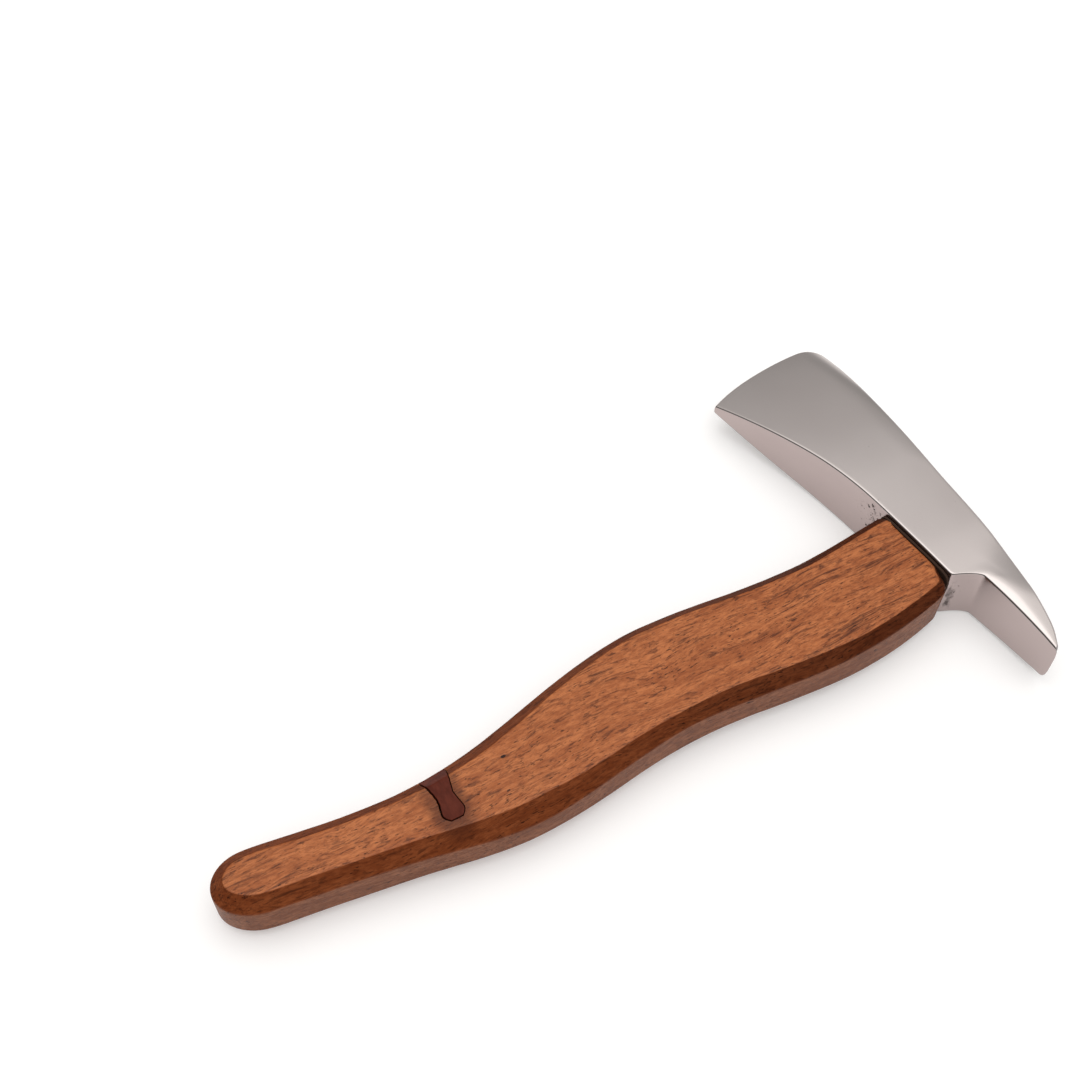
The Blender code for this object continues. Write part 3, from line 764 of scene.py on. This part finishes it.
class Shader:
    """A Principled material and short ways to add nodes to it."""

    def __init__(self, name, **uniform):
        self.material = bpy.data.materials.new(name)
        self.material.use_nodes = True
        self.tree = self.material.node_tree
        self.principled = self.tree.nodes["Principled BSDF"]
        for key, value in uniform.items():
            self.principled.inputs[key.replace("_", " ")].default_value = value

    def add(self, kind, settings=(), **inputs):
        """A node; an input is named, or i0, i1 and so on, and takes a value or an output."""
        made = self.tree.nodes.new("ShaderNode" + kind)
        for key, value in dict(settings).items():
            setattr(made, key, value)
        for key, value in inputs.items():
            socket = int(key[1:]) if key[1:].isdigit() else key.replace("_", " ")
            self.set(made.inputs[socket], value)
        return made

    def set(self, socket, value):
        """Link the socket to another node's output, or give it a value."""
        if isinstance(value, bpy.types.NodeSocket):
            self.tree.links.new(value, socket)
        else:
            socket.default_value = value

    def drive(self, **outputs):
        """Set inputs of the Principled node by their names."""
        for key, value in outputs.items():
            self.set(self.principled.inputs[key.replace("_", " ")], value)

    def place(self):
        """Position on the object in millimetres."""
        coords = self.add("TexCoord").outputs["Object"]
        return self.add("VectorMath", {"operation": "SCALE"}, Vector=coords, Scale=1 / MM).outputs[0]

    def scaled(self, vector, factors):
        return self.add("VectorMath", {"operation": "MULTIPLY"}, i0=vector, i1=factors).outputs[0]

    def noise(self, vector, detail=3.0, roughness=0.5, distortion=0.0):
        return self.add("TexNoise", Vector=vector, Scale=1.0, Detail=detail, Roughness=roughness,
                        Distortion=distortion).outputs[0]

    def ramp(self, value, low, high, to_low=0.0, to_high=1.0):
        """A smooth step of the value from low to high."""
        return self.add("MapRange", {"interpolation_type": "SMOOTHSTEP"}, Value=value, i1=low, i2=high,
                        i3=to_low, i4=to_high).outputs[0]

    def math(self, operation, a, b=0.0):
        return self.add("Math", {"operation": operation}, i0=a, i1=b).outputs[0]

    def mix(self, factor, a, b, blend="MIX"):
        made = self.tree.nodes.new("ShaderNodeMix")
        made.data_type = "RGBA"
        made.blend_type = blend
        self.set(made.inputs[0], factor)
        self.set(made.inputs[6], a)
        self.set(made.inputs[7], b)
        return made.outputs[2]

    def near(self, place, centre, low, high, squash=(1.0, 1.0, 1.0)):
        """1 closer to the centre than low, 0 further than high; squash shortens the distances."""
        at = self.scaled(place, squash)
        squashed = tuple(a * b for a, b in zip(centre, squash))
        distance = self.add("VectorMath", {"operation": "DISTANCE"}, i0=at, i1=squashed).outputs["Value"]
        return self.ramp(distance, low, high, 1.0, 0.0)

    def bump(self, height, strength, distance):
        """A normal bent by the height; distance is in metres."""
        return self.add("Bump", Strength=strength, Distance=distance, Height=height).outputs[0]


def colour(red, green, blue):
    """Linear colour from 8-bit display values."""
    linear = []
    for value in (red, green, blue):
        share = value / 255
        linear.append(share / 12.92 if share <= 0.04045 else ((share + 0.055) / 1.055) ** 2.4)
    return (*linear, 1.0)


WOOD_LIGHT = colour(187, 113, 67)
WOOD_MIDDLE = colour(161, 91, 50)
WOOD_DARK = colour(116, 57, 29)
WOOD_STREAK = colour(66, 29, 16)
WOOD_PORE = colour(38, 16, 9)
WOOD_END_DARK = colour(66, 36, 24)
# Painted shade: the chamfers are darkened, more so by the head, and the sides are darkened and greyed as
# a painted reflection, by which way the surface faces.
CHAMFER_PAINTED_SHADE = (0.41, 0.33, 0.31, 1.0)           # the shades multiply the wood's colour
CHAMFER_PAINTED_SHADE_BY_HEAD = (0.21, 0.165, 0.17, 1.0)
SIDE_PAINTED_SHADE_AND_REFLECTION = (0.50, 0.57, 0.80, 1.0)
COAT_WEIGHT = 0.34
WORN_COAT_WEIGHT = 0.08
STEEL_DULL = (0.50, 0.450, 0.435, 1.0)
STEEL_BRIGHT = (0.55, 0.508, 0.492, 1.0)
# Painted shade: a darker, pinkish tint on the steel's sides as painted reflection, and a painted dark
# line along its arrises.
STEEL_SIDE_PAINTED_SHADE = (0.88, 0.80, 0.80, 1.0)
STEEL_ARRIS_PAINTED_SHADE = (0.055, 0.045, 0.042, 1.0)
STEEL_GRIME = (0.05, 0.040, 0.036, 1.0)
WEDGE_STEEL_DARK = (0.20, 0.19, 0.185, 1.0)
WEDGE_STEEL_LIGHT = (0.42, 0.40, 0.385, 1.0)
WEDGE_WOOD_LIGHT = colour(176, 120, 74)
WEDGE_WOOD_DARK = colour(128, 78, 42)
WEDGE_WOOD_DOT = colour(62, 32, 18)
GLUE_DARK = (0.022, 0.012, 0.008, 1.0)
GLUE_LIGHT = (0.065, 0.034, 0.022, 1.0)
FILLER_DARK = colour(78, 33, 23)
FILLER_LIGHT = colour(94, 43, 31)


def row_point(x, y, z):
    """A design point in the row frame, in millimetres."""
    return tuple(component / MM for component in PLACE @ Vector((x, y, z)))


def varnished_wood():
    """Warm orange-brown hardwood with dark streaks and short open pores, under varnish, with painted
    shade on its chamfers and sides, and a greyish painted reflection on the sides.
    """
    wood = Shader("varnished_hardwood", Coat_Roughness=0.20, Coat_IOR=1.5, Specular_IOR_Level=0.0)
    place = wood.place()
    grain = wood_grain(wood, place)
    upright, along = wood_zones(wood, place)
    off_the_flats = wood.ramp(upright, 0.82, 0.97, 1.0, 0.0)
    bands = wood.noise(wood.scaled(grain, (0.012, 0.17, 0.17)), 5.0, 0.62)
    fibres = wood.noise(wood.scaled(grain, (0.22, 1.3, 1.3)), 5.0, 0.68, 0.5)
    streaks = wood_streaks(wood, grain, along)
    streaks = wood.math("MULTIPLY", streaks, wood.ramp(upright, 0.3, 0.97, 0.35, 1.0))
    pores = wood_pores(wood, place, grain)
    pinhole = wood.near(place, row_point(*PINHOLE, STOCK_THICKNESS / 2), 0.45, 0.9, (0.6, 1.0, 1.0))

    body = wood_body(wood, place, bands, fibres)
    body = wood.mix(streaks, body, WOOD_STREAK)
    body = wood.mix(wood.math("MULTIPLY", pores, 0.8), body, WOOD_PORE)
    # Painted shade and reflection: chamfers and sides darkened, the sides also greyed, by the surface's
    # facing instead of by light.
    shade = wood.mix(along, CHAMFER_PAINTED_SHADE, CHAMFER_PAINTED_SHADE_BY_HEAD)
    shade = wood.mix(wood.ramp(upright, 0.2, 0.4), SIDE_PAINTED_SHADE_AND_REFLECTION, shade)
    body = wood.mix(off_the_flats, body, shade, "MULTIPLY")
    # Darker on the chamfers of the shoulder's end, by the joint.
    body = wood.mix(wood.math("MULTIPLY", darkened_shoulder_end(wood, place), off_the_flats), body, WOOD_END_DARK)
    body = knot_marks(wood, place, body)
    body = wood.mix(pinhole, body, WOOD_PORE)

    hollows = wood.math("MAXIMUM", pores, pinhole)
    height = wood.math("SUBTRACT", wood.math("MULTIPLY", fibres, 0.4), hollows)
    height = wood.math("SUBTRACT", height, wood.math("MULTIPLY", streaks, 0.4))
    off_the_sides = wood.ramp(upright, 0.50, 0.62)
    chamfers = wood.math("MULTIPLY", off_the_sides, wood.ramp(upright, 0.82, 0.95, 1.0, 0.0))
    wood.drive(Base_Color=body, Roughness=wood.ramp(bands, 0.2, 0.8, 0.36, 0.50),
               Coat_Weight=wood.ramp(chamfers, 0.0, 1.0, COAT_WEIGHT, WORN_COAT_WEIGHT),
               Normal=wood.bump(height, 0.5, 0.0003), Coat_Normal=wood.bump(height, 0.25, 0.0002))
    return wood.material


def wood_grain(wood, place):
    """The position, swayed sideways so that the grain runs in slow waves."""
    drift = wood.noise(wood.scaled(place, (0.012, 0.03, 0.03)), 2.0)
    across = wood.math("MULTIPLY", drift, 16.0)
    upwards = wood.math("MULTIPLY", drift, 9.0)
    sway = wood.add("CombineXYZ", X=0.0, Y=across, Z=upwards).outputs[0]
    return wood.add("VectorMath", {"operation": "ADD"}, i0=place, i1=sway).outputs[0]


def wood_zones(wood, place):
    """How far the surface faces up or down, and how far along it is from the middle to the head."""
    normal = wood.add("NewGeometry").outputs["Normal"]
    upright = wood.math("ABSOLUTE", wood.add("SeparateXYZ", Vector=normal).outputs[2])
    along = wood.ramp(wood.add("SeparateXYZ", Vector=place).outputs[0], -80.0, 130.0)
    return upright, along


def wood_body(wood, place, bands, fibres):
    """The wood's own colour: light and middle tones in bands and mottles, with darker fibres."""
    mottle = wood.noise(wood.scaled(place, (0.22, 0.34, 0.34)), 3.0, 0.6)
    tone = wood.math("ADD", wood.math("MULTIPLY", bands, 0.6), wood.math("MULTIPLY", mottle, 0.4))
    body = wood.mix(wood.ramp(tone, 0.40, 0.60), WOOD_LIGHT, WOOD_MIDDLE)
    return wood.mix(wood.ramp(fibres, 0.42, 0.64, 0.0, 0.55), body, WOOD_DARK)


def wood_streaks(wood, grain, along):
    """Dark streaks: short dashes all along, and long ones that gather towards the head."""
    short = wood.noise(wood.scaled(grain, (0.14, 0.60, 0.60)), 4.0, 0.62, 0.5)
    short = wood.ramp(short, 0.53, 0.68, 0.0, 0.66)
    gather = wood.noise(wood.scaled(grain, (0.008, 0.07, 0.07)), 2.0)
    gather = wood.math("ADD", wood.math("MULTIPLY", gather, 0.22), wood.math("MULTIPLY", along, 0.035))
    long = wood.noise(wood.scaled(grain, (0.035, 0.55, 0.55)), 5.0, 0.66, 0.4)
    long = wood.ramp(wood.math("ADD", long, gather), 0.67, 0.82, 0.0, 0.82)
    return wood.math("MAXIMUM", short, long)


def wood_pores(wood, place, grain):
    """Short open pores, crowded in patches."""
    dash = wood.noise(wood.scaled(grain, (0.34, 1.5, 1.5)), 2.5)
    crowd = wood.ramp(wood.noise(wood.scaled(place, (0.05, 0.09, 0.09)), 2.0), 0.30, 0.60, 0.3, 1.0)
    return wood.math("MULTIPLY", wood.ramp(dash, 0.61, 0.69), crowd)


def darkened_shoulder_end(wood, place):
    """1 on the chamfered end of the shoulder, next to the joint, where the wood is made dark."""
    separate = wood.add("SeparateXYZ", Vector=place).outputs
    slope = seat_x(1.0) - seat_x(0.0)
    level = wood.math("SUBTRACT", separate[0], wood.math("MULTIPLY", separate[1], slope))
    shoulder = row_point(shoulder_x(0.0), 0.0, 0.0)
    edge = shoulder[0] - shoulder[1] * slope
    begins = wood.ramp(level, edge - 5.5, edge - 0.5)
    ends = wood.ramp(level, edge + 4.0, edge + 6.0, 1.0, 0.0)
    return wood.math("MULTIPLY", begins, ends)


def knot_marks(wood, place, body):
    """Darker wood round the filled knot: a halo at its foot and a rim along it."""
    top = STOCK_THICKNESS / 2
    halo = wood.near(place, row_point(KNOT_CENTRE_X, -18.0, top), 5.0, 12.0, (1.0, 0.8, 1.0))
    body = wood.mix(wood.math("MULTIPLY", halo, 0.42), body, WOOD_STREAK)
    rim = wood.near(place, row_point(KNOT_CENTRE_X - 0.8, -6.0, top), 6.0, 10.5, (1.0, 0.36, 1.0))
    return wood.mix(wood.math("MULTIPLY", rim, 0.5), body, WOOD_STREAK)


def buffed_steel():
    """Steel ground and buffed bright, with painted shade and a pinkish painted reflection on its sides, a
    painted dark line along its arrises, and pits and grime by the handle.
    """
    steel = Shader("buffed_steel", Metallic=1.0)
    place = steel.place()
    cloud = steel.noise(steel.scaled(place, (0.03, 0.02, 0.03)), 3.0)
    lines = steel.noise(steel.scaled(place, (2.4, 0.05, 2.4)), 3.0, 0.6)
    normal = steel.add("NewGeometry").outputs["Normal"]
    upright = steel.math("ABSOLUTE", steel.add("SeparateXYZ", Vector=normal).outputs[2])
    on_sides = steel.ramp(upright, 0.05, 0.20, 1.0, 0.0)
    off_sides = steel.ramp(upright, 0.12, 0.30)
    arrises = steel.math("MULTIPLY", off_sides, steel.ramp(upright, 0.62, 0.82, 1.0, 0.0))
    dirt = steel.math("MAXIMUM", steel_pits(steel, place), steel_grime(steel, place))

    body = steel.mix(cloud, STEEL_DULL, STEEL_BRIGHT)
    # Painted shade and reflection: sides darkened and tinted, arrises given a dark line, by the surface's
    # facing instead of by light.
    body = steel.mix(on_sides, body, STEEL_SIDE_PAINTED_SHADE, "MULTIPLY")
    body = steel.mix(steel.math("MULTIPLY", arrises, 0.85), body, STEEL_ARRIS_PAINTED_SHADE)
    body = steel.mix(steel.math("MULTIPLY", dirt, 0.85), body, STEEL_GRIME)
    rough = steel.ramp(cloud, 0.3, 0.7, 0.13, 0.18)
    rough = steel.math("ADD", rough, steel.math("MULTIPLY", lines, 0.03))
    rough = steel.math("ADD", rough, steel.math("MULTIPLY", dirt, 0.4))
    height = steel.math("SUBTRACT", steel.math("MULTIPLY", lines, 0.02), dirt)
    steel.drive(Base_Color=body, Roughness=rough, Normal=steel.bump(height, 0.3, 0.0002))
    return steel.material


def steel_pits(steel, place):
    """Small pits beside the handle, on the blade's side and on the poll's."""
    by_blade = steel.near(place, row_point(1.0, 27.0, 4.0), 4.0, 16.0)
    by_poll = steel.near(place, row_point(8.0, -24.0, 2.0), 1.0, 8.0)
    zone = steel.math("MULTIPLY", steel.math("MAXIMUM", by_blade, by_poll), 0.17)
    specks = steel.noise(steel.scaled(place, (0.42, 0.42, 0.42)), 5.0, 0.68)
    return steel.ramp(steel.math("ADD", specks, zone), 0.69, 0.77)


def steel_grime(steel, place):
    """A dark film in the corner between the handle and the poll."""
    by_seat = steel.near(place, row_point(7.4, -23.4, -4.0), 1.4, 4.8, (1.0, 1.0, 0.2))
    film = steel.noise(steel.scaled(place, (0.34, 0.34, 0.22)), 4.0, 0.55)
    return steel.ramp(steel.math("ADD", film, steel.math("MULTIPLY", by_seat, 0.50)), 0.70, 1.10)


def dark_adhesive():
    """Nearly black adhesive, dull and lumpy."""
    glue = Shader("dark_adhesive", Specular_IOR_Level=0.15)
    place = glue.place()
    lumps = glue.noise(glue.scaled(place, (0.8, 0.8, 0.8)), 4.0)
    body = glue.mix(lumps, GLUE_DARK, GLUE_LIGHT)
    glue.drive(Base_Color=body, Roughness=glue.ramp(lumps, 0.3, 0.7, 0.6, 0.85),
               Normal=glue.bump(lumps, 0.6, 0.0004))
    return glue.material


def knot_filling():
    """Dark red-brown filler, smooth, with faint darker mottling."""
    fill = Shader("knot_filling", Coat_Weight=0.12, Coat_Roughness=0.25, Specular_IOR_Level=0.0)
    place = fill.place()
    mottle = fill.noise(fill.scaled(place, (0.30, 0.12, 0.30)), 4.0, 0.6)
    body = fill.mix(fill.ramp(mottle, 0.35, 0.65), FILLER_DARK, FILLER_LIGHT)
    fill.drive(Base_Color=body, Roughness=fill.ramp(mottle, 0.3, 0.7, 0.34, 0.5),
               Normal=fill.bump(mottle, 0.25, 0.0003))
    return fill.material


def wedge_wood():
    """Pale wedge seen on its end grain: fine rings and dots."""
    wood = Shader("wedge_wood", Specular_IOR_Level=0.35)
    place = wood.place()
    rings = wood.noise(wood.scaled(place, (0.1, 0.5, 2.4)), 3.0)
    dots = wood.ramp(wood.noise(wood.scaled(place, (0.3, 4.0, 4.0)), 2.0), 0.60, 0.68)
    body = wood.mix(rings, WEDGE_WOOD_LIGHT, WEDGE_WOOD_DARK)
    body = wood.mix(wood.math("MULTIPLY", dots, 0.7), body, WEDGE_WOOD_DOT)
    wood.drive(Base_Color=body, Roughness=wood.ramp(rings, 0.2, 0.8, 0.5, 0.65),
               Normal=wood.bump(wood.math("SUBTRACT", rings, dots), 0.3, 0.0002))
    return wood.material


def wedge_steel():
    """Ground mild steel with hammer marks on its end."""
    steel = Shader("wedge_steel", Metallic=1.0)
    place = steel.place()
    marks = steel.noise(steel.scaled(place, (0.6, 0.6, 0.6)), 4.0)
    body = steel.mix(marks, WEDGE_STEEL_DARK, WEDGE_STEEL_LIGHT)
    steel.drive(Base_Color=body, Roughness=steel.ramp(marks, 0.3, 0.7, 0.30, 0.5),
                Normal=steel.bump(marks, 0.6, 0.0005))
    return steel.material


# ---------------------------------------------------------------- placing

def placing_matrix(pieces):
    """Lean the axe so that butt and cheek both touch, and centre it on the CAD model's box."""
    lift_height = (EYE_THICKNESS - STOCK_THICKNESS) / 2
    lean = math.atan2(lift_height, JUNCTION_HIGH.x - BUTT_FLAT_X)
    turn = Matrix.Rotation(-lean, 4, "Y") @ Matrix.Scale(MM, 4)
    points = [turn @ v.co for piece in pieces for v in piece.data.vertices]
    low = Vector([min(p[axis] for p in points) for axis in range(3)])
    high = Vector([max(p[axis] for p in points) for axis in range(3)])
    cad_low, cad_high = CAD_BOX
    shift = (cad_low + cad_high) / 2 - (low + high) / 2
    shift.z = cad_low.z - low.z
    return Matrix.Translation(shift) @ turn


def finish_piece(piece, node, material):
    """Place a piece in the row frame, give it its looks, attach it to the root body and hide the CAD part
    that it stands for.
    """
    piece.data.transform(PLACE)
    piece.data.materials.clear()
    piece.data.materials.append(material)
    piece.data.shade_smooth()
    piece.data.set_sharp_from_angle(angle=math.radians(SMOOTH_ANGLE))
    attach(piece, "root")
    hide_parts(node)


# ---------------------------------------------------------------- stage, light, camera

def make_floor():
    """Pale paper that glows a little, as on a light table."""
    bm = bmesh.new()
    bmesh.ops.create_grid(bm, x_segments=2, y_segments=2, size=FLOOR_REACH)
    floor = add_object("floor", bm)
    paper = Shader("pale_paper", Roughness=0.9, Specular_IOR_Level=0.1)
    paper.drive(Base_Color=(FLOOR_GREY, FLOOR_GREY, FLOOR_GREY, 1.0),
                Emission_Color=(*FLOOR_TINT, 1.0), Emission_Strength=FLOOR_GLOW)
    floor.data.materials.append(paper.material)


def make_lights():
    """A studio dome without lamps: its brightness changes only with the height."""
    world = bpy.data.worlds.new("studio")
    bpy.context.scene.world = world
    world.use_nodes = True
    tree = world.node_tree
    background = tree.nodes["Background"]
    direction = tree.nodes.new("ShaderNodeTexCoord").outputs["Generated"]
    split = tree.nodes.new("ShaderNodeSeparateXYZ")
    tree.links.new(direction, split.inputs[0])
    shade = tree.nodes.new("ShaderNodeValToRGB")
    tree.links.new(split.outputs[2], shade.inputs[0])
    stops = shade.color_ramp.elements
    while len(stops) > 1:
        stops.remove(stops[-1])
    for i, (height, grey) in enumerate(STUDIO_WALL):
        stop = stops[0] if i == 0 else stops.new(height)
        stop.position = height
        stop.color = (*(grey * tint for tint in WALL_TINT), 1.0)
    tree.links.new(shade.outputs[0], background.inputs[0])


def make_camera():
    """A camera that looks down on the axe from above the butt's near side, slightly rolled."""
    pitch = math.radians(CAMERA_PITCH)
    roll = math.radians(CAMERA_ROLL)
    heading = math.radians(CAMERA_HEADING)
    forward = Vector((math.cos(heading) * math.cos(pitch), math.sin(heading) * math.cos(pitch),
                      -math.sin(pitch)))
    level = forward.cross(Vector((0, 0, 1))).normalized()
    over = level.cross(forward)
    right = level * math.cos(roll) + over * math.sin(roll)
    up = over * math.cos(roll) - level * math.sin(roll)
    lens = bpy.data.cameras.new("camera")
    lens.lens = CAMERA_LENS
    lens.sensor_width = CAMERA_SENSOR
    lens.clip_start = CAMERA_CLIP_START
    camera = bpy.data.objects.new("camera", lens)
    bpy.context.scene.collection.objects.link(camera)
    turn = Matrix((right, up, -forward)).transposed().to_4x4()
    camera.matrix_world = Matrix.Translation(CAMERA_PLACE) @ turn
    bpy.context.scene.camera = camera


make_floor()
make_lights()
make_camera()
bpy.context.scene.view_settings.view_transform = "Standard"

axe_head = make_head()
axe_handle, knot_piece = make_handle_and_knot()
wooden_wedge, cross_wedge = make_wedges()
adhesive_bed = make_bedding()
PLACE = placing_matrix([axe_head, axe_handle])
finish_piece(axe_head, "head", buffed_steel())
finish_piece(axe_handle, "handle", varnished_wood())
finish_piece(knot_piece, "knot_fill", knot_filling())
finish_piece(wooden_wedge, "kerf_wedge", wedge_wood())
finish_piece(cross_wedge, "steel_wedge", wedge_steel())
finish_piece(adhesive_bed, "shoulder_bedding", dark_adhesive())
